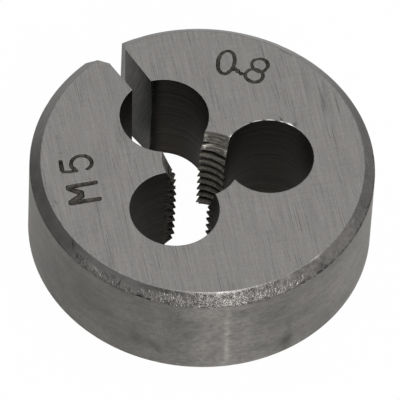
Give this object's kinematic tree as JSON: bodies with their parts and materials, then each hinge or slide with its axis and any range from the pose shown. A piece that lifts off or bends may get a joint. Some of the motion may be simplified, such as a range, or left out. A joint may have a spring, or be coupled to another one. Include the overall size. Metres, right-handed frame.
{
  "type": "split threading die",
  "caption": "Round split die for cutting outside threads by hand: chamfered steel disc with a toothed bore, chip holes round it and a slot out through the rim.",
  "frame": {"origin": "centre of the bottom face, on the axis of the rim", "axes": "+Z along the bore towards the marked starting face, +Y out through the split in the rim"},
  "size_m": [0.025, 0.0249, 0.009],
  "materials": {
    "ground_steel": "fine ground faces, turned and pitted rim, dark hardened holes"
  },
  "bodies": {
    "root": {"split_die": "ground_steel"}
  },
  "joints": []
}
